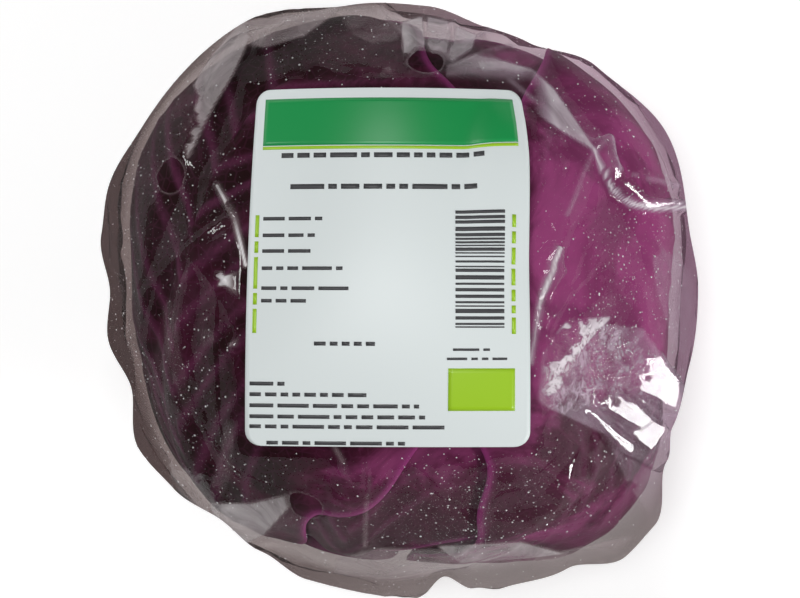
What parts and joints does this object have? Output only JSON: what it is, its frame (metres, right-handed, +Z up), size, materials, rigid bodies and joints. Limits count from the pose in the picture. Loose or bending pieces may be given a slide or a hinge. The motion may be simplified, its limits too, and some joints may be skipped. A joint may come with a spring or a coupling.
{
  "type": "packed red cabbage",
  "caption": "Round head of red cabbage lying on its side in a loose clear bag with punched vent holes, with a blank paper label stuck on top.",
  "frame": {"origin": "middle of the small flat spot that the bag rests on, under the middle of the head", "axes": "+Z up; the cabbage lies on its side with its label up, its crown towards +Y and its cut stalk towards -Y"},
  "size_m": [0.1485, 0.1485, 0.1216],
  "materials": {
    "heart": "waxy inner leaves, cut stalk pale",
    "leaf": "waxy purple leaf with a pale bloom",
    "film": "clear glossy film",
    "paper": "semi-gloss label stock"
  },
  "bodies": {
    "root": {"heart": "heart", "wrapper_leaf_1": "leaf", "wrapper_leaf_2": "leaf", "wrapper_leaf_3": "leaf", "wrapper_leaf_4": "leaf", "wrapper_leaf_5": "leaf", "film_bag": "film", "label": "paper"}
  },
  "joints": []
}
